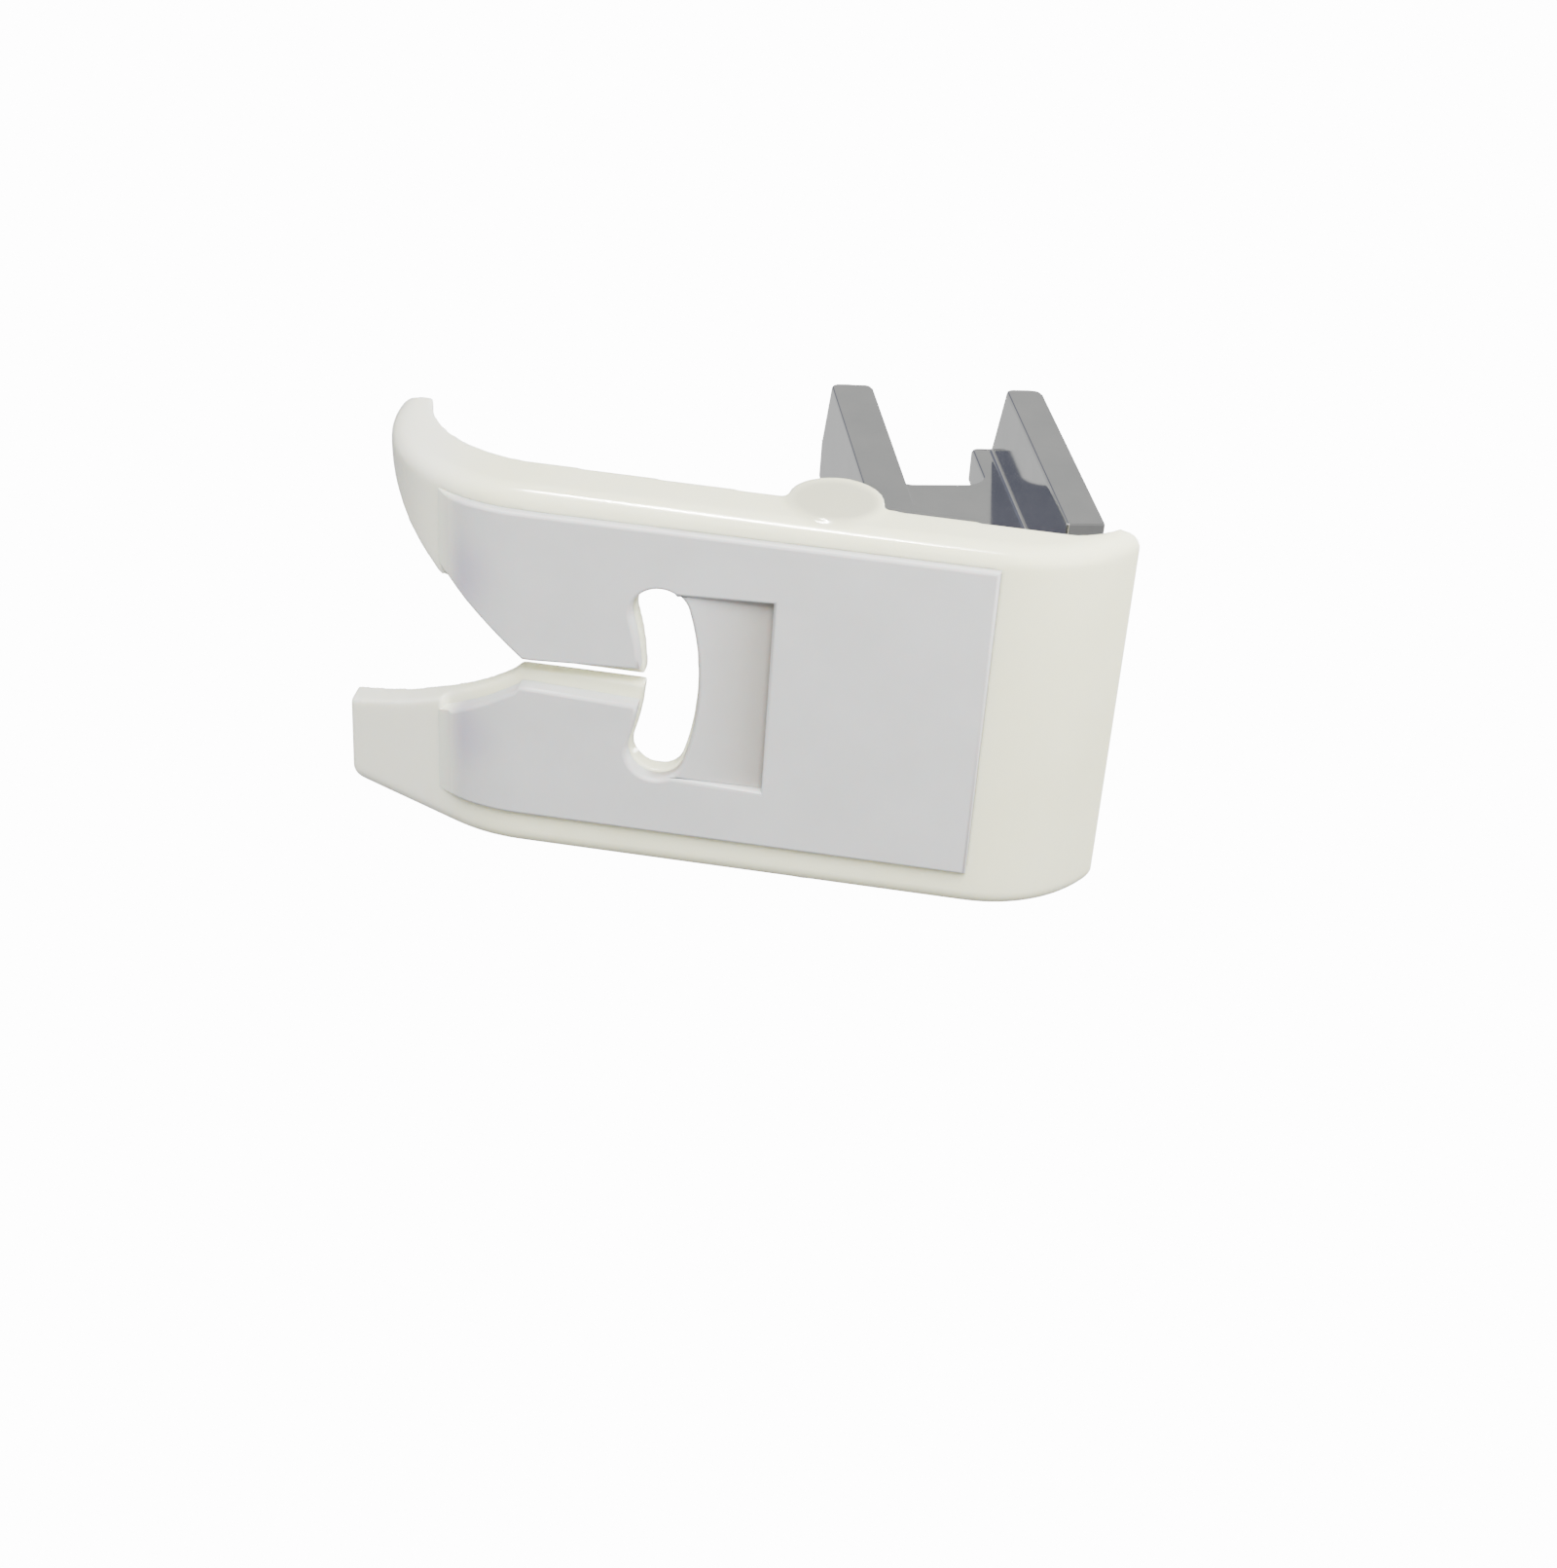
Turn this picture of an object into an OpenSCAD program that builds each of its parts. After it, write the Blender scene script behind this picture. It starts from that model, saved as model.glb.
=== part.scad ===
// Hinged presser foot with a non-stick sole and a tall clamp-on shank.
// The sole lies flat on z = 0 with its toes towards -Y; the channel for the presser bar opens to +X.

/* [Sole] */
// Length of the sole from the tip of the long toe to the heel
sole_l = 34.46; // [32:0.02:39]
// Width of the sole over its side walls
sole_w = 17.8; // [16.6:0.1:21]
// Height of the side walls at the heel, above the slide pad's face
wall_h = 2.6; // [2.2:0.05:3]
// Height of the side walls where the toes begin
wall_h_toe = 3.25; // [2.8:0.05:3.6]
// Thickness of the side walls
wall_t = 1.5; // [1:0.1:2]
// Height of the floor's upper face above the slide pad's face
floor_h = 1.5; // [1.3:0.05:1.8]
// Radius of the long bottom edges
edge_r = 0.8; // [0.3:0.05:0.9]
// Length of the curl at the heel
heel_run = 5.5; // [4.5:0.05:6]
// Radius of the curl at the heel
heel_r = 6.2; // [6:0.05:9]
// Height of the heel lip above the slide pad's face
lip_h = 3.7; // [3.4:0.05:4.2]
// Radius that the side walls sweep up to the heel lip with
lip_sweep_r = 3; // [2:0.1:4]

/* [Toes] */
// Length of the toes, measured along the sole
toe_run = 8.75; // [8:0.05:10]
// Radius of the curl that both toes start with
toe_r = 7.4; // [6.6:0.05:8.5]
// Angle of the long left toe's straight ramp
left_ramp = 26; // [20:0.5:32]
// Height of the left toe's wall above its floor at the tip
left_tip_wall = 0.5; // [0.3:0.05:0.8]
// Height of the right toe's horn above the slide pad's face
horn_h = 8.3; // [7.5:0.05:9]
// Width of the right toe's horn
horn_w = 1.2; // [0.9:0.05:1.6]
// Radius that the right wall sweeps up to the horn with
horn_sweep_r = 6; // [5:0.1:7]
// Width of the slit between the toes
slit_w = 0.5; // [0.35:0.05:0.8]
// Offset of the slit to the left of the needle line
slit_shift = 0.1; // [0:0.05:0.2]
// Radius of the left toe's corners
toe_corner_r = 0.9; // [0.4:0.1:1.4]

/* [Slide pad] */
// Width of the pad
pad_w = 14.8; // [13:0.1:15.4]
// Thickness of the pad
pad_t = 0.7; // [0.5:0.05:0.8]
// How far the pad stands out of the sole
pad_proud = 0.3; // [0.1:0.05:0.4]
// From the heel to the pad's heel end
pad_heel_gap = 5.66; // [5.5:0.02:8]
// Angle of the right toe's curl that the pad follows
pad_toe_turn = 30.5; // [26:0.5:33]
// Length of the left toe's ramp that the pad follows
pad_ramp_run = 0.7; // [0.2:0.1:1.5]
// Gap round the pad in its pocket
pad_gap = 0.05; // [0.03:0.01:0.1]

/* [Needle slot] */
// Offset of the needle line to the right of the sole's middle
needle_shift = 0.5; // [0:0.1:1]
// From the heel to the middle of the needle slot
needle_from_heel = 19.15; // [18:0.05:20.5]
// Length of the slot across the sole
slot_l = 9.2; // [7:0.1:10]
// Width of the slot along the sole
slot_w = 2.3; // [1.6:0.05:2.6]
// Radius that the slot bends to
slot_bend_r = 12; // [10:0.5:40]
// Length of the stitch tunnel behind the slot
tunnel_l = 3.15; // [2:0.05:4]
// Depth of the stitch tunnel at its heel end
tunnel_depth = 0.5; // [0.2:0.05:0.6]
// How much the stitch tunnel's sides flare
tunnel_flare = 0.15; // [0.05:0.05:0.3]

/* [Hinge] */
// From the heel to the hinge pin
pin_from_heel = 12.86; // [12:0.02:14]
// Height of the hinge pin above the slide pad's face
pin_h = 3; // [2.8:0.05:3.4]
// Diameter of the hinge pin
pin_d = 1.6; // [1.2:0.05:1.9]
// Diameter of the round head of each hinge cheek
boss_d = 4.1; // [3.6:0.1:4.6]
// How far each cheek stands out of its side wall
boss_proud = 0.15; // [0.1:0.05:0.5]
// Thickness of the closed end of the right pin hole
blind_t = 0.8; // [0.5:0.1:1.2]
// Diameter of the shank's hinge barrel
barrel_d = 3; // [2.8:0.1:3.2]
// Length of the shank's hinge barrel
barrel_l = 8.6; // [7:0.1:10]
// Running clearance of the barrel on the pin, on the radius
pin_clear = 0.04; // [0.02:0.01:0.08]
// Gap between the barrel and the sole round it
barrel_gap = 0.3; // [0.25:0.05:0.4]

/* [Shank] */
// Diameter of the presser bar that the channel takes
bar_d = 7.1; // [6.6:0.1:7.6]
// Side play of the presser bar in the channel
bar_play = 0.1; // [0.05:0.05:0.3]
// From the hinge pin back to the presser bar's axis
bar_set = 10.05; // [9.5:0.05:11]
// Thickness of the front flange
front_t = 2.2; // [1.8:0.05:2.6]
// Thickness of the rear flange
rear_t = 1.9; // [1.8:0.05:2.6]
// Thickness of the web
web_t = 2; // [1.6:0.1:2.6]
// Depth of the channel from the web to the flange edges
channel_depth = 4.3; // [4.2:0.1:5.2]
// Height of the rear flange's lower end above the hinge pin
channel_low = 13; // [12:0.1:15]
// Height of the clamp screw above the hinge pin
screw_up = 28.6; // [26:0.1:30]
// Width of the notch for the clamp screw
notch_w = 5; // [4.6:0.1:5.4]
// Height of the web's top edge above the clamp screw's axis
web_over = 2.45; // [1:0.05:4]
// Slope of the flange ends down to their free edges
flange_slope = 25; // [10:1:30]
// Skew of the whole top end down towards the heel
end_skew = 3; // [0:0.5:5]
// Lean of the shank towards the toes at rest
shank_lean = 15.3; // [10:0.1:18]

/* [Hidden] */
$fn = 72;
eps = 0.01;
far = 2 * sole_w;
past = 5;
through_h = 25;

heel_y = sole_l / 2;
toe_y = -sole_l / 2;
flat_front = toe_y + toe_run;
flat_rear = heel_y - heel_run;
half_w = sole_w / 2;
base_h = lip_h - pad_proud;
base_floor = floor_h - pad_proud;
heel_turn = asin(heel_run / heel_r);
ramp_foot = flat_front - toe_r * sin(left_ramp);
ramp_foot_z = pad_proud + toe_r * (1 - cos(left_ramp));
left_tip_z = ramp_foot_z + (ramp_foot - toe_y) * tan(left_ramp) + base_floor / cos(left_ramp);

pad_heel = heel_y - pad_heel_gap;
slot_y = heel_y - needle_from_heel;
tunnel_end = slot_y + slot_w / 2 + tunnel_l;
apex_y = flat_front + 0.25;

pin_y = heel_y - pin_from_heel;
cheek_in = barrel_l / 2 + barrel_gap;
cheek_out = half_w + boss_proud;

channel_w = bar_d + bar_play;
web_x = needle_shift - channel_w / 2;
web_out = web_x - web_t;
flange_x = web_x + channel_depth;
channel_front = bar_set - channel_w / 2;
channel_rear = bar_set + channel_w / 2;
shank_front = channel_front - front_t;
shank_rear = channel_rear + rear_t;
notch_low = screw_up - notch_w / 2;
shank_top = screw_up + web_over;
flange_corner = 0.45;
notch_corner = 1.1;

// Sole section across the foot: x across, y up from the sole's own underside
module sole_section() {
    difference() {
        union() {
            translate([-half_w, edge_r]) square([sole_w, base_h - edge_r]);
            translate([-half_w + edge_r, 0]) square([sole_w - 2 * edge_r, edge_r + eps]);
            for (side = [-1, 1]) translate([side * (half_w - edge_r), edge_r]) circle(edge_r);
        }
        translate([-half_w + wall_t, base_floor]) square([sole_w - 2 * wall_t, base_h]);
    }
}

// Pad section across the foot, grown sideways by side
module pad_section(side = 0) {
    translate([needle_shift - pad_w / 2 - side, -pad_proud]) square([pad_w + 2 * side, pad_t]);
}

// A straight run of a section, from y0 to y1
module straight_run(y0, y1) {
    translate([0, y1, pad_proud]) rotate([90, 0, 0]) linear_extrude(y1 - y0) children();
}

// A section curled upwards from the flat towards the toes
module toe_curl(turn) {
    translate([0, flat_front, pad_proud + toe_r]) rotate([0, 90, 180])
        rotate_extrude(angle = turn)
            translate([toe_r, 0]) rotate(90) mirror([1, 0]) children();
}

// A section run on in a straight ramp from the end of a toe's curl
module toe_ramp(turn, run) {
    translate([0, flat_front, pad_proud + toe_r]) rotate([-turn, 0, 0]) translate([0, 0, -toe_r])
        rotate([90, 0, 0]) linear_extrude(run) children();
}

// A section curled upwards from the flat towards the heel
module heel_curl() {
    translate([0, flat_rear, pad_proud + heel_r]) rotate([0, 90, 0])
        rotate_extrude(angle = heel_turn + 6)
            translate([heel_r, 0]) rotate(90) children();
}

// A side view drawn as y along the sole and z up, made solid from x0 to x1
module side_view(x0, x1) {
    translate([x0, 0, 0]) rotate([90, 0, 90]) linear_extrude(x1 - x0) children();
}

// A plan view made solid through the whole sole
module through() {
    translate([0, 0, -past]) linear_extrude(through_h) children();
}

// Keeps the part of a shape on one side of the needle line
module toe_side(side) {
    intersection() {
        children();
        translate([side > 0 ? needle_shift : -far, toe_y - past, -past])
            cube([far + needle_shift, toe_run + past + eps, through_h]);
    }
}

// Plan of the open notch between the toes; grow widens it at its edges
module notch_plan(grow = 0) {
    left_edge = [[-0.75, 0.75], [-1.5, 1.9], [-2.7, 3.9], [-3.8, 6], [-4.3, 7.2], [-4.9, 8.8]];
    right_edge = [[4.35, 5.2], [5, 5.88], [5.5, 6.3], [6.05, 6.74], [6.55, 7.06], [7.1, 7.3]];
    horn_in = half_w - horn_w - needle_shift;
    polygon(concat(
        [[needle_shift, apex_y + grow]],
        [for (p = left_edge) [needle_shift + p[0] - grow, apex_y - p[1] + grow]],
        [[needle_shift - 5.2 - grow, toe_y - 3], [needle_shift + horn_in + grow, toe_y - 3],
         [needle_shift + horn_in + grow, apex_y - 7.8]],
        [for (i = [len(right_edge) - 1 : -1 : 0])
            [needle_shift + right_edge[i][0] + grow, apex_y - right_edge[i][1] + grow]]));
}

// Plan of the slit that leads the thread from the notch to the needle slot
module slit_plan() {
    translate([needle_shift - slit_shift - slit_w / 2, apex_y - 1])
        square([slit_w, slot_y - apex_y + 1]);
}

// Plan of the pad's own wider slit, which flares towards the needle slot
module pad_slit_plan() {
    polygon([[needle_shift - 0.9, apex_y - 0.5], [needle_shift - 0.9, apex_y + 0.3],
             [needle_shift - 1.15, slot_y], [needle_shift + 0.8, slot_y],
             [needle_shift + 0.45, apex_y + 0.3], [needle_shift + 0.45, apex_y - 0.5]]);
}

// Room for the bent needle slot, round at both ends and open right through the sole
module slot_room(grow = 0) {
    reach = slot_l / 2 - slot_w / 2;
    swing = asin(reach / slot_bend_r);
    band = slot_w / 2 + grow;
    translate([needle_shift, slot_y - slot_bend_r, -past]) {
        rotate(90 - swing) rotate_extrude(angle = 2 * swing)
            translate([slot_bend_r - band, 0]) square([2 * band, through_h]);
        for (side = [-1, 1]) rotate(side * swing) translate([0, slot_bend_r])
            cylinder(r = band, h = through_h);
    }
}

// Ramp in the underside that lets the satin stitch pass behind the needle, flaring to the heel
module stitch_tunnel() {
    near = slot_l / 2 - tunnel_flare;
    wide = slot_l / 2 + tunnel_flare;
    start_y = slot_y - slot_w / 4;
    intersection() {
        side_view(-far, far) polygon([[start_y, -eps], [tunnel_end, -eps],
                                      [tunnel_end, tunnel_depth], [start_y, 0.05]]);
        through() translate([needle_shift, 0])
            polygon([[-near, slot_y - 1], [near, slot_y - 1], [wide, tunnel_end + 1],
                     [-wide, tunnel_end + 1]]);
    }
}

// The pad's whole form; its pocket is the same form with a gap round it
module pad_form(side = 0) {
    straight_run(flat_front - eps, pad_heel + side) pad_section(side);
    toe_side(1) toe_curl(pad_toe_turn) pad_section(side);
    toe_side(-1) {
        toe_curl(left_ramp) pad_section(side);
        toe_ramp(left_ramp, pad_ramp_run) pad_section(side);
    }
}

// Side view of what is cut away above the walls, from the heel lip to the toes
module wall_top_cut() {
    drop_y = heel_y - 3.35;
    top = horn_h + past;
    polygon([[flat_front, wall_h_toe], [drop_y, wall_h], [drop_y, lip_h], [heel_y + past, lip_h],
             [heel_y + past, top], [flat_front, top]]);
    intersection() {
        translate([drop_y, wall_h + lip_sweep_r]) circle(lip_sweep_r);
        translate([drop_y - eps, 0]) square([lip_sweep_r, top]);
    }
}

// Side view of what is cut away above the right toe, down to its slender upturned horn
module horn_cut() {
    top = horn_h + past;
    translate([flat_front, wall_h_toe + horn_sweep_r]) intersection() {
        circle(horn_sweep_r);
        translate([-horn_sweep_r, -horn_sweep_r]) square([horn_sweep_r + eps, far]);
    }
    polygon([[flat_front + eps, top], [flat_front + eps, horn_h - 2.3],
             [flat_front - 4.98, horn_h - 1.7], [flat_front - 5.85, horn_h],
             [flat_front - far, horn_h], [flat_front - far, top]]);
}

// Side view of what is cut away above the left toe's wall, which runs out towards the tip
module left_wall_cut() {
    rise = left_tip_z + left_tip_wall - wall_h_toe;
    sweep_r = (toe_run * toe_run + rise * rise) / (2 * rise);
    translate([flat_front, wall_h_toe + sweep_r]) intersection() {
        circle(sweep_r, $fn = 180);
        translate([-toe_run - 1, -sweep_r]) square([toe_run + 1 + eps, sweep_r]);
    }
}

module left_toe() {
    difference() {
        toe_side(-1) {
            toe_curl(left_ramp) sole_section();
            toe_ramp(left_ramp, toe_run) sole_section();
        }
        side_view(-far, far) left_wall_cut();
        translate([-far, toe_y - far, -past]) cube([2 * far, far, through_h]);
        through() difference() {
            translate([-half_w - 1, toe_y - 1]) square([toe_corner_r + 1, toe_corner_r + 1]);
            translate([-half_w + toe_corner_r, toe_y + toe_corner_r]) circle(toe_corner_r);
        }
    }
}

module right_toe() {
    difference() {
        toe_side(1) toe_curl(110) sole_section();
        side_view(-far, far) horn_cut();
    }
}

// Moulding from the toes' roots to the heel lip
module main_moulding() {
    difference() {
        union() {
            straight_run(flat_front, flat_rear) sole_section();
            heel_curl() sole_section();
        }
        side_view(-far, far) wall_top_cut();
        translate([-far, heel_y, -past]) cube([2 * far, far, through_h]);
    }
}

module hinge_cheek(side) {
    boss_r = boss_d / 2;
    translate([side > 0 ? cheek_in : -cheek_out, pin_y, pin_h]) rotate([0, 90, 0])
        cylinder(r = boss_r, h = cheek_out - cheek_in);
    translate([side > 0 ? cheek_in : -half_w + edge_r, pin_y - boss_r, pad_proud + eps])
        cube([half_w - edge_r - cheek_in, boss_d, pin_h - pad_proud - eps]);
}

// Room round the hinge barrel, cut into the floor between the cheeks
module barrel_room() {
    translate([-cheek_in, pin_y, pin_h]) rotate([0, 90, 0])
        cylinder(d = barrel_d + 2 * barrel_gap, h = 2 * cheek_in);
}

module sole_body() {
    color("ivory") difference() {
        union() {
            main_moulding();
            left_toe();
            right_toe();
            for (side = [-1, 1]) hinge_cheek(side);
        }
        barrel_room();
        pad_form(pad_gap);
        through() {
            notch_plan();
            slit_plan();
        }
        slot_room();
        translate([-half_w - 2, pin_y, pin_h]) rotate([0, 90, 0])
            cylinder(d = pin_d, h = 2 + half_w + cheek_out - blind_t);
    }
}

module slide_pad() {
    color("whitesmoke") difference() {
        pad_form();
        through() {
            notch_plan(0.35);
            pad_slit_plan();
        }
        slot_room(0.12);
        stitch_tunnel();
    }
}

module hinge_pin() {
    color("silver") translate([-half_w, pin_y, pin_h]) rotate([0, 90, 0])
        cylinder(d = pin_d, h = half_w + cheek_out - blind_t);
}

// Side view of the shank's leg, from the hinge barrel up to the channel
module leg_side() {
    polygon([[shank_front, channel_low + 1], [shank_front, 7.5], [3.4, 4.6], [-0.6, 1.1],
             [0.4, -1.2], [3.8, 0.4], [7.2, 3.8], [9.8, 7], [12.3, 10.4],
             [channel_rear, channel_low], [channel_rear, channel_low + 1]]);
}

// Front view of the leg: as wide as the barrel below, stepping over to the channel above
module leg_front() {
    polygon([[web_out, channel_low + 1], [web_out, channel_low - 2], [-barrel_l / 2, 8.5],
             [-barrel_l / 2, -2], [barrel_l / 2, -2], [barrel_l / 2, 1.5], [flange_x, 7],
             [flange_x, channel_low + 1]]);
}

module leg() {
    intersection() {
        side_view(-half_w, half_w) leg_side();
        translate([0, shank_rear + 1, 0]) rotate([90, 0, 0])
            linear_extrude(shank_rear + 4) leg_front();
    }
}

module flanges_and_web() {
    height = shank_top + 2 - channel_low;
    translate([web_out, shank_front, channel_low])
        cube([web_t + channel_depth, shank_rear - shank_front, height]);
}

// Channel for the presser bar, closed below by the leg
module bar_channel() {
    translate([web_x, channel_front, channel_low - 2]) cube([channel_depth + far, channel_w, far]);
}

// Open-topped notch in the web for the clamp screw
module clamp_notch() {
    side_view(web_out - 1, web_x + 1) translate([bar_set, notch_low]) {
        translate([-notch_w / 2, notch_corner]) square([notch_w, far]);
        translate([-notch_w / 2 + notch_corner, 0])
            square([notch_w - 2 * notch_corner, notch_corner + eps]);
        for (side = [-1, 1]) translate([side * (notch_w / 2 - notch_corner), notch_corner])
            circle(notch_corner);
    }
}

// Outline of a post's rounded upper end, between l0 and l1, up to height 0
module rounded_post(l0, l1) {
    translate([l0, -far]) square([l1 - l0, far - flange_corner]);
    translate([l0 + flange_corner, -flange_corner - eps])
        square([l1 - l0 - 2 * flange_corner, flange_corner + eps]);
    for (l = [l0 + flange_corner, l1 - flange_corner]) translate([l, -flange_corner])
        circle(flange_corner);
}

// Slopes the flange ends down towards their free edges and rounds their corners
module top_end_cut() {
    translate([web_x, bar_set, shank_top]) {
        rotate([0, flange_slope, 0]) rotate([-end_skew, 0, 0]) translate([0, -bar_set, 0])
            side_view(-eps, far) difference() {
                translate([shank_front - 1, -flange_corner])
                    square([shank_rear - shank_front + 2, far]);
                rounded_post(shank_front, channel_front);
                rounded_post(channel_rear, shank_rear);
            }
        rotate([-end_skew, 0, 0]) translate([0, -bar_set, 0]) {
            side_view(-far, eps) difference() {
                translate([shank_front - 1, -flange_corner])
                    square([shank_rear - shank_front + 2, far]);
                rounded_post(shank_front, shank_rear);
            }
            translate([-far, shank_front - 1, 0])
                cube([far + channel_depth, shank_rear - shank_front + 2, far]);
            // the ears beside the clamp screw's notch
            side_view(-far, eps) for (side = [-1, 1])
                translate([bar_set + side * (notch_w / 2 + flange_corner), -flange_corner])
                    difference() {
                        translate([side > 0 ? -flange_corner - eps : 0, 0])
                            square(flange_corner + eps);
                        circle(flange_corner);
                    }
        }
    }
}

module shank() {
    color("silver") translate([0, pin_y, pin_h]) rotate([shank_lean, 0, 0]) difference() {
        union() {
            flanges_and_web();
            leg();
            translate([-barrel_l / 2, 0, 0]) rotate([0, 90, 0]) cylinder(d = barrel_d, h = barrel_l);
        }
        bar_channel();
        clamp_notch();
        top_end_cut();
        translate([-barrel_l, 0, 0]) rotate([0, 90, 0])
            cylinder(r = pin_d / 2 + pin_clear, h = 2 * barrel_l);
    }
}

sole_body();
slide_pad();
hinge_pin();
shank();
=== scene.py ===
# Hinged presser foot with a non-stick sole: finish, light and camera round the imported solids
import math

import bmesh
import bpy
from mathutils import Matrix, Vector


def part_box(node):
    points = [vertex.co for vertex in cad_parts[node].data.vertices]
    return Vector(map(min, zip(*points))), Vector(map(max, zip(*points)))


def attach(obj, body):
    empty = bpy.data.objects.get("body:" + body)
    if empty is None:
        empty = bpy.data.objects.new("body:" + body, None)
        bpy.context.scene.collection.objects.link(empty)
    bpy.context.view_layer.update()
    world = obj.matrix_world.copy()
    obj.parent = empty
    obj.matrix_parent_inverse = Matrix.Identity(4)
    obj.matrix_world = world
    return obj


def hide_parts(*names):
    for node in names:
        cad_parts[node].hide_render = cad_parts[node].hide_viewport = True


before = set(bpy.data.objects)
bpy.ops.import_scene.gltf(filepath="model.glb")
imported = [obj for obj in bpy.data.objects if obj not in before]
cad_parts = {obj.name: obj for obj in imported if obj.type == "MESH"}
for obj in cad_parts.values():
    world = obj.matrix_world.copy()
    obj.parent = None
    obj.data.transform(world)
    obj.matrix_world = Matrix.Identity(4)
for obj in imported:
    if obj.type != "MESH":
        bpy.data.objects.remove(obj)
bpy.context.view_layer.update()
print("frame loaded:", sorted(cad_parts))

mm = 0.001


def deselectAll():
    if bpy.context.object and bpy.context.object.mode != "OBJECT":
        bpy.ops.object.mode_set(mode="OBJECT")
    bpy.ops.object.select_all(action="DESELECT")


def makeActive(piece):
    deselectAll()
    piece.select_set(True)
    bpy.context.view_layer.objects.active = piece


def applyModifier(piece, kind, **settings):
    makeActive(piece)
    modifier = piece.modifiers.new(kind.lower(), kind)
    for key, value in settings.items():
        setattr(modifier, key, value)
    bpy.ops.object.modifier_apply(modifier=modifier.name)


def copyOfNode(nodeName, pieceName, weld, flatAngle):
    piece = bpy.data.objects.new(pieceName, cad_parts[nodeName].data.copy())
    bpy.context.scene.collection.objects.link(piece)
    piece.data.name = pieceName
    piece.data.materials.clear()
    work = bmesh.new()
    work.from_mesh(piece.data)
    bmesh.ops.remove_doubles(work, verts=work.verts, dist=weld * mm)
    bmesh.ops.dissolve_limit(work, angle_limit=math.radians(flatAngle), verts=work.verts,
                             edges=work.edges)
    work.to_mesh(piece.data)
    work.free()
    return piece


def roundEdges(piece, chosen, width, steps, smoothAngle):
    makeActive(piece)
    bpy.ops.object.mode_set(mode="EDIT")
    shell = bmesh.from_edit_mesh(piece.data)
    shell.normal_update()
    bpy.ops.mesh.select_mode(type="EDGE")
    bpy.ops.mesh.select_all(action="DESELECT")
    for edge in shell.edges:
        edge.select = chosen(edge)
    bmesh.update_edit_mesh(piece.data)
    bpy.ops.mesh.bevel(offset=width * mm, segments=steps, affect="EDGES", clamp_overlap=False)
    bpy.ops.object.mode_set(mode="OBJECT")
    bpy.ops.object.shade_smooth_by_angle(angle=math.radians(smoothAngle))
    applyModifier(piece, "WEIGHTED_NORMAL", weight=80, keep_sharp=True)


def newMaterial(name):
    material = bpy.data.materials.new(name)
    material.use_nodes = True
    nodes = material.node_tree.nodes
    nodes.clear()
    output = nodes.new("ShaderNodeOutputMaterial")
    shader = nodes.new("ShaderNodeBsdfPrincipled")
    material.node_tree.links.new(shader.outputs[0], output.inputs[0])
    coordinates = nodes.new("ShaderNodeTexCoord")
    return material, nodes, material.node_tree.links, shader, coordinates.outputs["Object"]


def noise(nodes, links, vector, scale, detail=3.0, roughness=0.55):
    n = nodes.new("ShaderNodeTexNoise")
    n.inputs["Scale"].default_value = scale
    n.inputs["Detail"].default_value = detail
    n.inputs["Roughness"].default_value = roughness
    links.new(vector, n.inputs["Vector"])
    return n.outputs["Fac"]


def ramp(nodes, links, factor, stops):
    r = nodes.new("ShaderNodeValToRGB")
    elements = r.color_ramp.elements
    while len(elements) < len(stops):
        elements.new(0.5)
    for element, (place, colour) in zip(elements, stops):
        element.position = place
        element.color = (*colour, 1)
    links.new(factor, r.inputs["Fac"])
    return r.outputs["Color"]


def bump(nodes, links, height, strength, distance):
    b = nodes.new("ShaderNodeBump")
    b.inputs["Strength"].default_value = strength
    b.inputs["Distance"].default_value = distance
    links.new(height, b.inputs["Height"])
    return b.outputs["Normal"]


def along(nodes, links, place, direction, start, end):
    dot = nodes.new("ShaderNodeVectorMath")
    dot.operation = "DOT_PRODUCT"
    dot.inputs[1].default_value = direction
    links.new(place, dot.inputs[0])
    spread = nodes.new("ShaderNodeMapRange")
    spread.interpolation_type = "SMOOTHSTEP"
    spread.inputs["From Min"].default_value = start
    spread.inputs["From Max"].default_value = end
    links.new(dot.outputs["Value"], spread.inputs["Value"])
    return spread.outputs[0]


def near(nodes, links, place, centre, inner, outer):
    gap = nodes.new("ShaderNodeVectorMath")
    gap.operation = "DISTANCE"
    gap.inputs[1].default_value = centre
    links.new(place, gap.inputs[0])
    spread = nodes.new("ShaderNodeMapRange")
    spread.interpolation_type = "SMOOTHSTEP"
    spread.inputs["From Min"].default_value = outer
    spread.inputs["From Max"].default_value = inner
    links.new(gap.outputs["Value"], spread.inputs["Value"])
    return spread.outputs[0]


def blendColour(nodes, links, factor, first, second):
    mix = nodes.new("ShaderNodeMix")
    mix.data_type = "RGBA"
    links.new(factor, mix.inputs[0])
    for socket, colour in ((mix.inputs[6], first), (mix.inputs[7], second)):
        if isinstance(colour, tuple):
            socket.default_value = (*colour, 1)
        else:
            links.new(colour, socket)
    return mix.outputs[2]


# Moulded plastic: dyes and the painted shade round the hinge bosses in linear colour, scales per
# metre, lengths in millimetres
bodyDye = ((0.88, 0.875, 0.64), (0.92, 0.92, 0.69))
toeDye = (0.94, 0.94, 0.80)
cloudStops = (0.3, 0.7)
bossPaintedShade = (0.58, 0.575, 0.44)
plasticDesign = dict(cloudScale=160, cloudDetail=4, bossCentres=((9.2, 4.37, 2.7), (-9.2, 4.37, 2.7)),
                     bossInner=1.5, bossOuter=2.3, toeStart=9.5, toeEnd=13.5, roughness=0.13,
                     glow=0.5, glowDepth=0.0006, glowRadius=(1.0, 0.9, 0.7),
                     peelScale=900, peelDetail=2, peelStrength=0.12, peelHeight=0.00002)


def dyeCloud(nodes, links, place, scale, detail, dyes):
    cloud = noise(nodes, links, place, scale, detail)
    return ramp(nodes, links, cloud, list(zip(cloudStops, dyes)))


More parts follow.
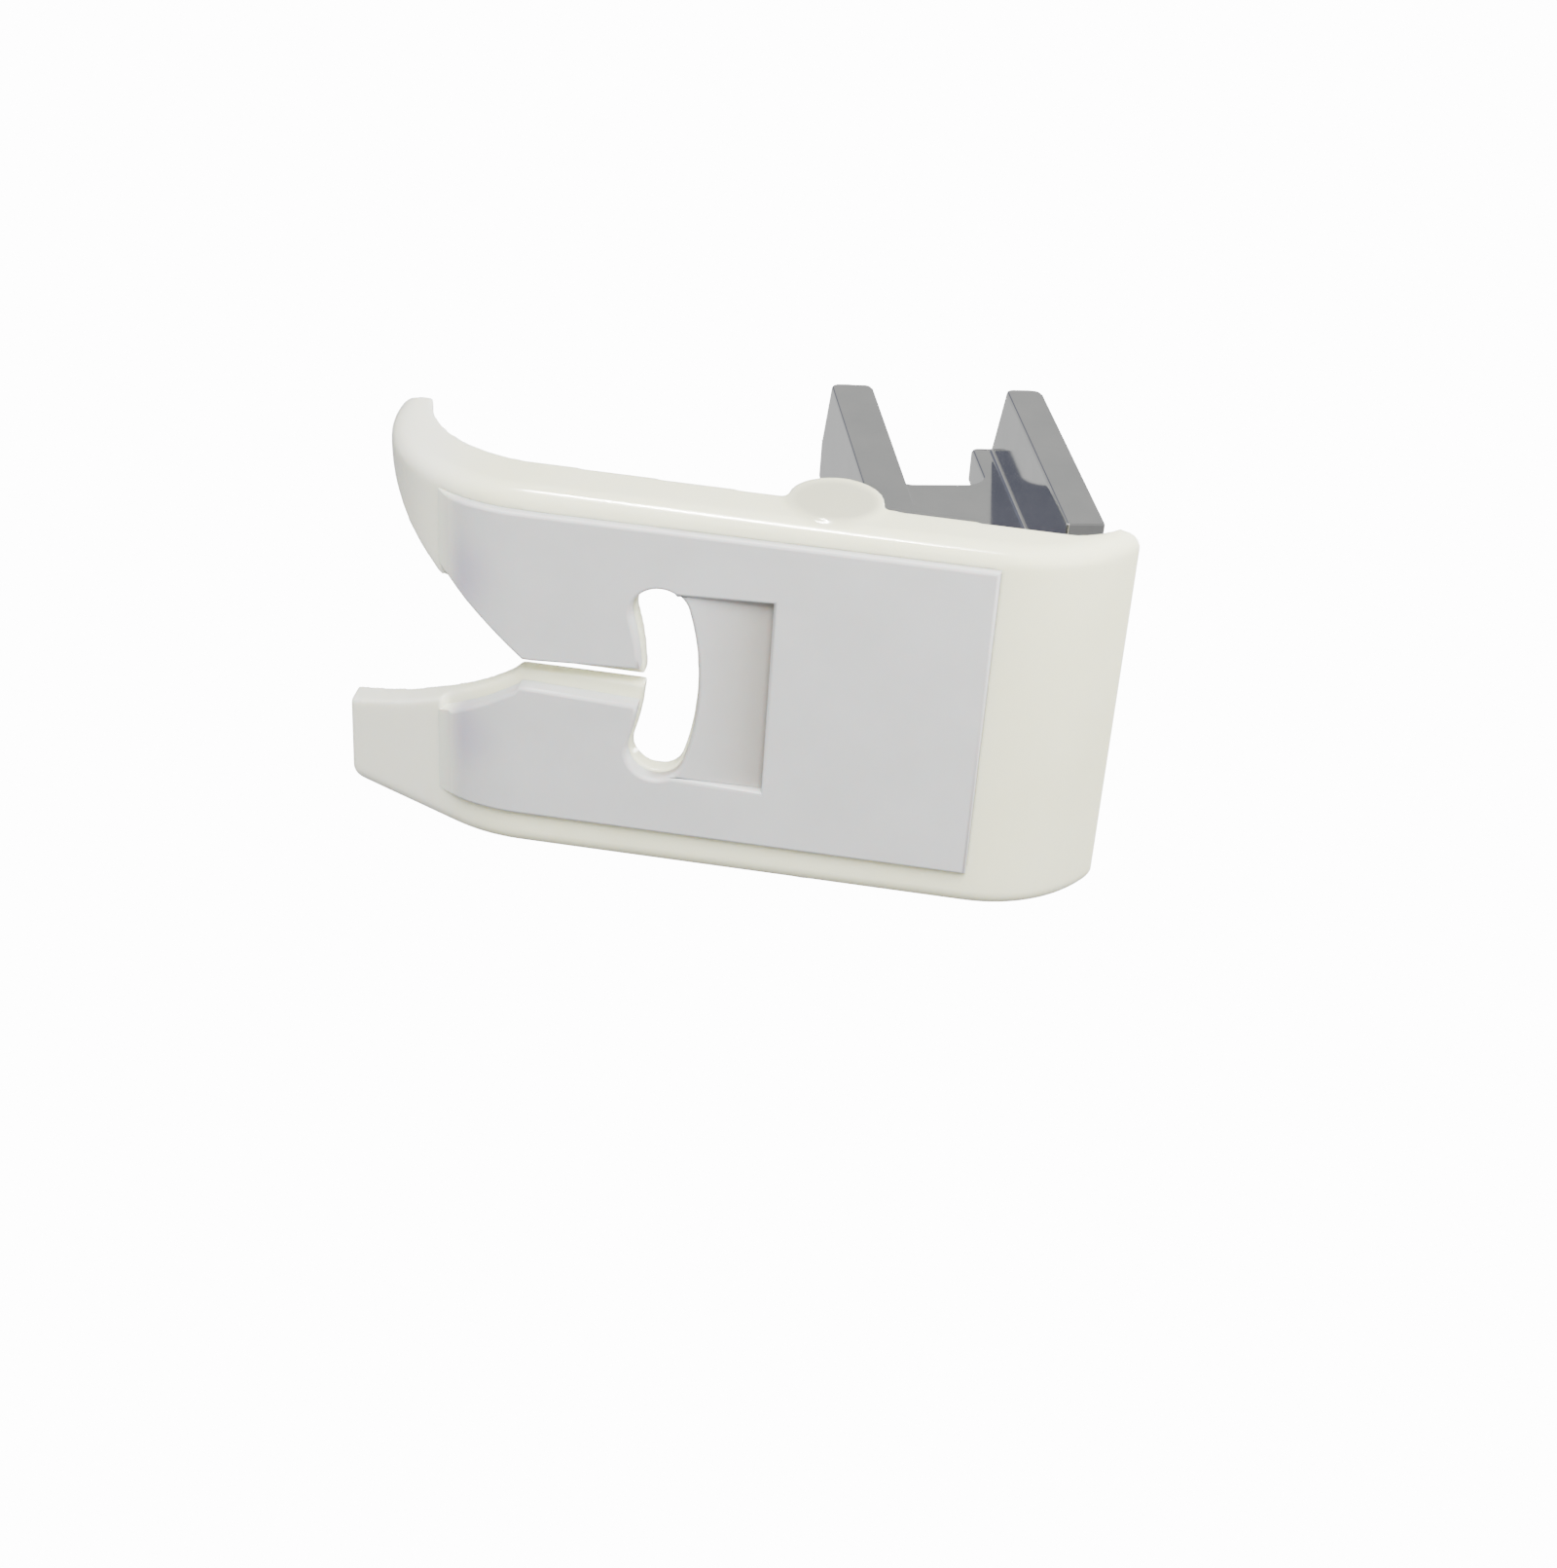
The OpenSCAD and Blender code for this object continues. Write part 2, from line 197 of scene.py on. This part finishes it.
def grainBump(nodes, links, place, shader, design, name):
    grain = noise(nodes, links, place, design[name + "Scale"], design[name + "Detail"])
    links.new(bump(nodes, links, grain, design[name + "Strength"], design[name + "Height"]),
              shader.inputs["Normal"])


def whitePlastic():
    design = plasticDesign
    material, nodes, links, shader, place = newMaterial("mouldedPlastic")
    face = dyeCloud(nodes, links, place, design["cloudScale"], design["cloudDetail"], bodyDye)
    # painted shade: the plastic is darkened round the centre of each hinge boss
    for centre in design["bossCentres"]:
        boss = near(nodes, links, place, Vector(centre) * mm, design["bossInner"] * mm,
                    design["bossOuter"] * mm)
        face = blendColour(nodes, links, boss, face, bossPaintedShade)
    toes = along(nodes, links, place, (0, -1, 0), design["toeStart"] * mm, design["toeEnd"] * mm)
    face = blendColour(nodes, links, toes, face, toeDye)
    links.new(face, shader.inputs["Base Color"])
    shader.inputs["Roughness"].default_value = design["roughness"]
    shader.inputs["Subsurface Weight"].default_value = design["glow"]
    shader.inputs["Subsurface Scale"].default_value = design["glowDepth"]
    shader.inputs["Subsurface Radius"].default_value = design["glowRadius"]
    grainBump(nodes, links, place, shader, design, "peel")
    return material


# Slide pad: dye, grain and roughness, with painted shade where it curls into the toes and in the
# recess behind the slot; colours linear, lengths in millimetres
padDye = ((0.53, 0.535, 0.54), (0.57, 0.575, 0.585))
padCurlPaintedShade = (0.45, 0.43, 0.51)
recessPaintedShade = (0.36, 0.335, 0.30)
padFinishAndShade = dict(cloudScale=260, cloudDetail=4, spots=((-3.4, -11.3, 1.0), (4.6, -11.3, 0.9)),
                 spotInner=0.3, spotOuter=2.6, recessLow=0.1, recessHigh=0.6,
                 recessFront=-3.0, recessRear=-2.4, toeStart=11.0, toeEnd=12.4,
                 roughness=0.5, glow=0.2, glowDepth=0.0006,
                 grainScale=2600, grainDetail=2, grainStrength=0.2, grainHeight=0.00002)


def padPlastic():
    design = padFinishAndShade
    material, nodes, links, shader, place = newMaterial("slidePad")
    face = dyeCloud(nodes, links, place, design["cloudScale"], design["cloudDetail"], padDye)
    # painted shade: lavender patches where the pad curls up into the toes
    for centre in design["spots"]:
        spot = near(nodes, links, place, Vector(centre) * mm, design["spotInner"] * mm,
                    design["spotOuter"] * mm)
        face = blendColour(nodes, links, spot, face, padCurlPaintedShade)
    # painted shade: darker beige deeper in the recess behind the needle slot
    depth = along(nodes, links, place, (0, 0, 1), design["recessLow"] * mm,
                  design["recessHigh"] * mm)
    behindSlot = along(nodes, links, place, (0, 1, 0), design["recessFront"] * mm,
                       design["recessRear"] * mm)
    both = nodes.new("ShaderNodeMath")
    both.operation = "MULTIPLY"
    links.new(depth, both.inputs[0])
    links.new(behindSlot, both.inputs[1])
    face = blendColour(nodes, links, both.outputs[0], face, recessPaintedShade)
    toeEnd = along(nodes, links, place, (0, -1, 0), design["toeStart"] * mm,
                   design["toeEnd"] * mm)
    face = blendColour(nodes, links, toeEnd, face, toeDye)
    links.new(face, shader.inputs["Base Color"])
    sheen = nodes.new("ShaderNodeMapRange")
    sheen.inputs["To Min"].default_value = design["roughness"]
    sheen.inputs["To Max"].default_value = plasticDesign["roughness"]
    links.new(toeEnd, sheen.inputs["Value"])
    links.new(sheen.outputs[0], shader.inputs["Roughness"])
    shader.inputs["Subsurface Weight"].default_value = design["glow"]
    shader.inputs["Subsurface Scale"].default_value = design["glowDepth"]
    grainBump(nodes, links, place, shader, design, "grain")
    return material


chromeDesign = dict(cloudScale=300, cloudDetail=3, dyes=((0.50, 0.505, 0.50), (0.56, 0.56, 0.55)),
                    roughness=0.1, waveScale=220, waveDetail=2, waveStrength=0.15,
                    waveHeight=0.00004)
steelDesign = dict(cloudScale=900, cloudDetail=3, dyes=((0.38, 0.38, 0.38), (0.48, 0.48, 0.47)),
                   roughness=0.3)


def metal(name, design):
    material, nodes, links, shader, place = newMaterial(name)
    links.new(dyeCloud(nodes, links, place, design["cloudScale"], design["cloudDetail"],
                       design["dyes"]), shader.inputs["Base Color"])
    shader.inputs["Metallic"].default_value = 1.0
    shader.inputs["Roughness"].default_value = design["roughness"]
    if "waveScale" in design:
        grainBump(nodes, links, place, shader, design, "wave")
    return material


finishes = {
    "sole_body": whitePlastic(),
    "slide_pad": padPlastic(),
    "hinge_pin": metal("pinSteel", steelDesign),
    "shank": metal("chromePlate", chromeDesign),
}

# Pieces: lengths in millimetres, angles in degrees
soleDesign = dict(weld=0.002, flatAngle=0.6, voxel=0.1, smoothRounds=12, triangles=170000)


def softenWhole(piece, design):
    applyModifier(piece, "REMESH", mode="VOXEL", voxel_size=design["voxel"] * mm)
    applyModifier(piece, "SMOOTH", factor=0.5, iterations=design["smoothRounds"])
    triangleCount = len(piece.data.polygons) * 2
    applyModifier(piece, "DECIMATE", ratio=min(1.0, design["triangles"] / triangleCount))
    print(piece.name, triangleCount, "->", len(piece.data.polygons))


# Smooths a piece inside one box, less and less within a margin of the box's sides
def smoothWithin(piece, low, high, margin, rounds):
    group = piece.vertex_groups.new(name="inBox")
    for point in piece.data.vertices:
        depth = min(min(c - a * mm, b * mm - c) for a, c, b in zip(low, point.co, high))
        if depth > 0:
            group.add([point.index], min(1.0, depth / (margin * mm)), "REPLACE")
    applyModifier(piece, "SMOOTH", factor=0.5, iterations=rounds, vertex_group="inBox")
    piece.vertex_groups.clear()


def makeSole():
    piece = copyOfNode("sole_body", "soleMoulding", soleDesign["weld"], soleDesign["flatAngle"])
    softenWhole(piece, soleDesign)
    makeActive(piece)
    bpy.ops.object.shade_smooth()
    piece.data.materials.append(finishes["sole_body"])
    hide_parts("sole_body")
    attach(piece, "sole")
    return piece


padDesign = dict(weld=0.03, flatAngle=0.6, edgeReach=0.02, curlMargin=0.3, toeMargin=0.2,
                 proudPower=1.5, reachPower=6, downward=-0.8, upright=-0.6, closeGap=0.10,
                 rim=0.18, rimSteps=4, smoothAngle=40, proud=0.28, reach=0.15,
                 curlFront=-8.48, curlRadius=7.7, runOut=1.3, toeEnd=-12.4)


def toeEndShift(corner):
    centre = Vector((corner.x, padDesign["curlFront"] * mm, padDesign["curlRadius"] * mm))
    spoke = centre - corner
    past = padDesign["toeEnd"] * mm + padDesign["runOut"] * mm - corner.y
    if past <= 0 or spoke.length < (padDesign["curlRadius"] - padDesign["curlMargin"]) * mm:
        return Vector((0, 0, 0))
    share = min(1.0, past / (padDesign["runOut"] * mm))
    inward = spoke.normalized()
    forward = Vector((0, -inward.z, inward.y))
    return (inward * padDesign["proud"] * share ** padDesign["proudPower"]
            + forward * padDesign["reach"] * share ** padDesign["reachPower"]) * mm


def isRimEdge(edge):
    if len(edge.link_faces) != 2 or not edge.is_convex:
        return False
    if max(corner.co.y for corner in edge.verts) < (padDesign["toeEnd"] + padDesign["toeMargin"]) * mm:
        return False
    outer, side = sorted(edge.link_faces, key=lambda face: face.normal.z)
    return outer.normal.z < padDesign["downward"] and side.normal.z > padDesign["upright"]


def makePad():
    piece = copyOfNode("slide_pad", "slidePadPlate", padDesign["weld"], padDesign["flatAngle"])
    low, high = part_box("slide_pad")
    edgeReach = padDesign["edgeReach"] * mm
    for corner in piece.data.vertices:       # the plate is pressed home, with no open joint round it
        for axis in (0, 1):
            if abs(corner.co[axis] - high[axis]) < edgeReach:
                corner.co[axis] += padDesign["closeGap"] * mm
        if abs(corner.co.x - low.x) < edgeReach:
            corner.co.x -= padDesign["closeGap"] * mm
    makeActive(piece)
    bpy.ops.object.mode_set(mode="EDIT")
    shell = bmesh.from_edit_mesh(piece.data)
    shell.normal_update()
    for point in shell.verts:                # the toe ends run out flush with the sole
        point.co += toeEndShift(point.co)
    shell.normal_update()
    bmesh.update_edit_mesh(piece.data)
    bpy.ops.object.mode_set(mode="OBJECT")
    roundEdges(piece, isRimEdge, padDesign["rim"], padDesign["rimSteps"], padDesign["smoothAngle"])
    piece.data.materials.append(finishes["slide_pad"])
    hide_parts("slide_pad")
    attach(piece, "sole")
    print("pad:", len(piece.data.polygons))
    return piece


shankDesign = dict(weld=0.002, flatAngle=0.6, normalWeight=60, voxel=0.08, smoothRounds=5,
                   triangles=90000, lean=15.3, pinY=4.37, pinZ=3.0,
                   hornLow=(-4.3, 9.9, 32.5), hornHigh=(-2.2, 12.6, 35.2), hornMargin=0.9,
                   hornRounds=60)


def makeShank():
    piece = copyOfNode("shank", "shankCasting", shankDesign["weld"], shankDesign["flatAngle"])
    pinPlace = Vector((0, shankDesign["pinY"], shankDesign["pinZ"])) * mm
    upright = (Matrix.Translation(pinPlace)
               @ Matrix.Rotation(math.radians(-shankDesign["lean"]), 4, "X")
               @ Matrix.Translation(-pinPlace))
    piece.data.transform(upright)            # flats lie along the remesh grid, so they stay flat
    softenWhole(piece, shankDesign)
    smoothWithin(piece, shankDesign["hornLow"], shankDesign["hornHigh"],
                 shankDesign["hornMargin"], shankDesign["hornRounds"])
    piece.data.transform(upright.inverted())
    makeActive(piece)
    bpy.ops.object.shade_smooth()
    applyModifier(piece, "WEIGHTED_NORMAL", weight=shankDesign["normalWeight"])
    piece.data.materials.append(finishes["shank"])
    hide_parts("shank")
    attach(piece, "shank")
    print("shank:", len(piece.data.polygons))
    return piece


sole = makeSole()
pad = makePad()
shank = makeShank()
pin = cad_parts["hinge_pin"]
for slotIndex in range(len(pin.material_slots)):
    pin.material_slots[slotIndex].material = finishes["hinge_pin"]


def makeStage():
    bpy.ops.mesh.primitive_plane_add(size=3, location=(0, 0, -0.00002))
    floor = bpy.context.object
    floor.name = "studioFloor"
    material = bpy.data.materials.new("paleFloor")
    material.use_nodes = True
    nodes, links = material.node_tree.nodes, material.node_tree.links
    nodes.clear()
    output = nodes.new("ShaderNodeOutputMaterial")
    paint = nodes.new("ShaderNodeBsdfDiffuse")
    paint.inputs["Color"].default_value = (0.86, 0.86, 0.86, 1)
    clear = nodes.new("ShaderNodeBsdfTransparent")
    side = nodes.new("ShaderNodeNewGeometry")
    mix = nodes.new("ShaderNodeMixShader")
    links.new(side.outputs["Backfacing"], mix.inputs[0])
    links.new(paint.outputs[0], mix.inputs[1])
    links.new(clear.outputs[0], mix.inputs[2])
    links.new(mix.outputs[0], output.inputs[0])
    floor.data.materials.append(material)
    floor.visible_shadow = False
    floor.visible_diffuse = False
    floor.visible_glossy = False
    floor.visible_transmission = False


worldDesign = dict(seen=14.0, towards=(-1, 0, 0), fore=(0.70, 0.70, 0.69), aft=(0.86, 0.87, 0.88),
                   dark=(0.30, 0.31, 0.40), darkSide=(0.44, -0.43, 0.79), darkEdge=(0.955, 0.975),
                   black=(0.05, 0.05, 0.06), blackSide=(0.96, 0.10, 0.22), blackEdge=(0.965, 0.985),
                   low=(0.42, 0.42, 0.42), lowSide=(-0.80, 0, -0.60), lowEdge=(0.25, 0.95))


def makeWorld():
    world = bpy.data.worlds.new("paleRoom")
    bpy.context.scene.world = world
    world.use_nodes = True
    nodes, links = world.node_tree.nodes, world.node_tree.links
    nodes.clear()
    output = nodes.new("ShaderNodeOutputWorld")
    seen = nodes.new("ShaderNodeBackground")
    seen.inputs[0].default_value = (1, 1, 1, 1)
    seen.inputs[1].default_value = worldDesign["seen"]
    lit = nodes.new("ShaderNodeBackground")
    direction = nodes.new("ShaderNodeTexCoord")
    facing = nodes.new("ShaderNodeVectorMath")
    facing.operation = "DOT_PRODUCT"
    facing.inputs[1].default_value = worldDesign["towards"]
    links.new(direction.outputs["Generated"], facing.inputs[0])
    spread = nodes.new("ShaderNodeMapRange")
    spread.inputs["From Min"].default_value = -1
    spread.inputs["From Max"].default_value = 1
    links.new(facing.outputs["Value"], spread.inputs["Value"])
    room = ramp(nodes, links, spread.outputs[0],
                [(0, worldDesign["fore"]), (1, worldDesign["aft"])])
    for name in ("low", "dark", "black"):
        zone = along(nodes, links, direction.outputs["Generated"],
                     Vector(worldDesign[name + "Side"]).normalized(), *worldDesign[name + "Edge"])
        room = blendColour(nodes, links, zone, room, worldDesign[name])
    links.new(room, lit.inputs[0])
    path = nodes.new("ShaderNodeLightPath")
    mix = nodes.new("ShaderNodeMixShader")
    links.new(path.outputs["Is Camera Ray"], mix.inputs[0])
    links.new(lit.outputs[0], mix.inputs[1])
    links.new(seen.outputs[0], mix.inputs[2])
    links.new(mix.outputs[0], output.inputs[0])


# Camera: place in metres, and its right, up and backward directions as columns
cameraDesign = dict(
    place=(0.05666, 0.01377, -0.09379),
    right=(0.06100626, 0.98665497, 0.15096422),
    up=(0.84085396, -0.13229569, 0.52484518),
    back=(0.53781302, 0.09492002, -0.83770361),
    focalPixels=2636.82,
    imageHeight=1611,
    sensor=36.0,
)


def makeCamera():
    data = bpy.data.cameras.new("camera")
    camera = bpy.data.objects.new("camera", data)
    bpy.context.scene.collection.objects.link(camera)
    turn = Matrix((cameraDesign["right"], cameraDesign["up"], cameraDesign["back"])).transposed()
    camera.matrix_world = Matrix.Translation(cameraDesign["place"]) @ turn.to_4x4()
    data.sensor_width = cameraDesign["sensor"]
    data.sensor_fit = "AUTO"
    data.lens = (cameraDesign["focalPixels"] / cameraDesign["imageHeight"]
                 * cameraDesign["sensor"])
    data.clip_start = 0.005
    data.clip_end = 10
    bpy.context.scene.camera = camera


# Lights: places in metres, width and length of the panel in metres, power in watts
lightDesigns = dict(
    stripLight=dict(place=(0.381, -0.052, -0.099), target=(0.009, 0, 0),
                    lengthway=(-0.23, 0.33, -0.92), width=0.010, length=0.24, power=7.0,
                    colour=(1.0, 0.99, 0.95), inDiffuse=False),
    topSoftbox=dict(place=(0, 0.18, 0.24), target=(0, 0, 0.01), lengthway=(1, 0, 0),
                    width=0.16, length=0.16, power=2.2, colour=(1.0, 1.0, 1.0)),
    ceilingSoftbox=dict(place=(0.255, 0.042, -0.156), target=(0, 0, 0.003),
                        lengthway=(0, 1, 0), width=0.16, length=0.16, power=2.9,
                        colour=(1.0, 0.99, 0.96), inGloss=False),
    heelSoftbox=dict(place=(0.034, 0.044, -0.014), target=(0.008, 0.016, 0.001),
                     lengthway=(0, 1, 0), width=0.02, length=0.02, power=0.03,
                     colour=(1.0, 0.99, 0.94), inGloss=False),
)


def areaLight(name, place, target, lengthway, width, length, power, colour,
              inGloss=True, inDiffuse=True):
    data = bpy.data.lights.new(name, "AREA")
    data.shape = "RECTANGLE"
    data.size = width
    data.size_y = length
    data.energy = power
    data.color = colour
    lamp = bpy.data.objects.new(name, data)
    bpy.context.scene.collection.objects.link(lamp)
    lamp.visible_glossy = inGloss
    lamp.visible_diffuse = inDiffuse
    back = (Vector(place) - Vector(target)).normalized()
    across = Vector(lengthway).cross(back).normalized()
    turn = Matrix((across, back.cross(across), back)).transposed()
    lamp.matrix_world = Matrix.Translation(place) @ turn.to_4x4()


makeStage()
makeWorld()
makeCamera()
for name, design in lightDesigns.items():
    areaLight(name, **design)
print("stage, room, camera and lights made")
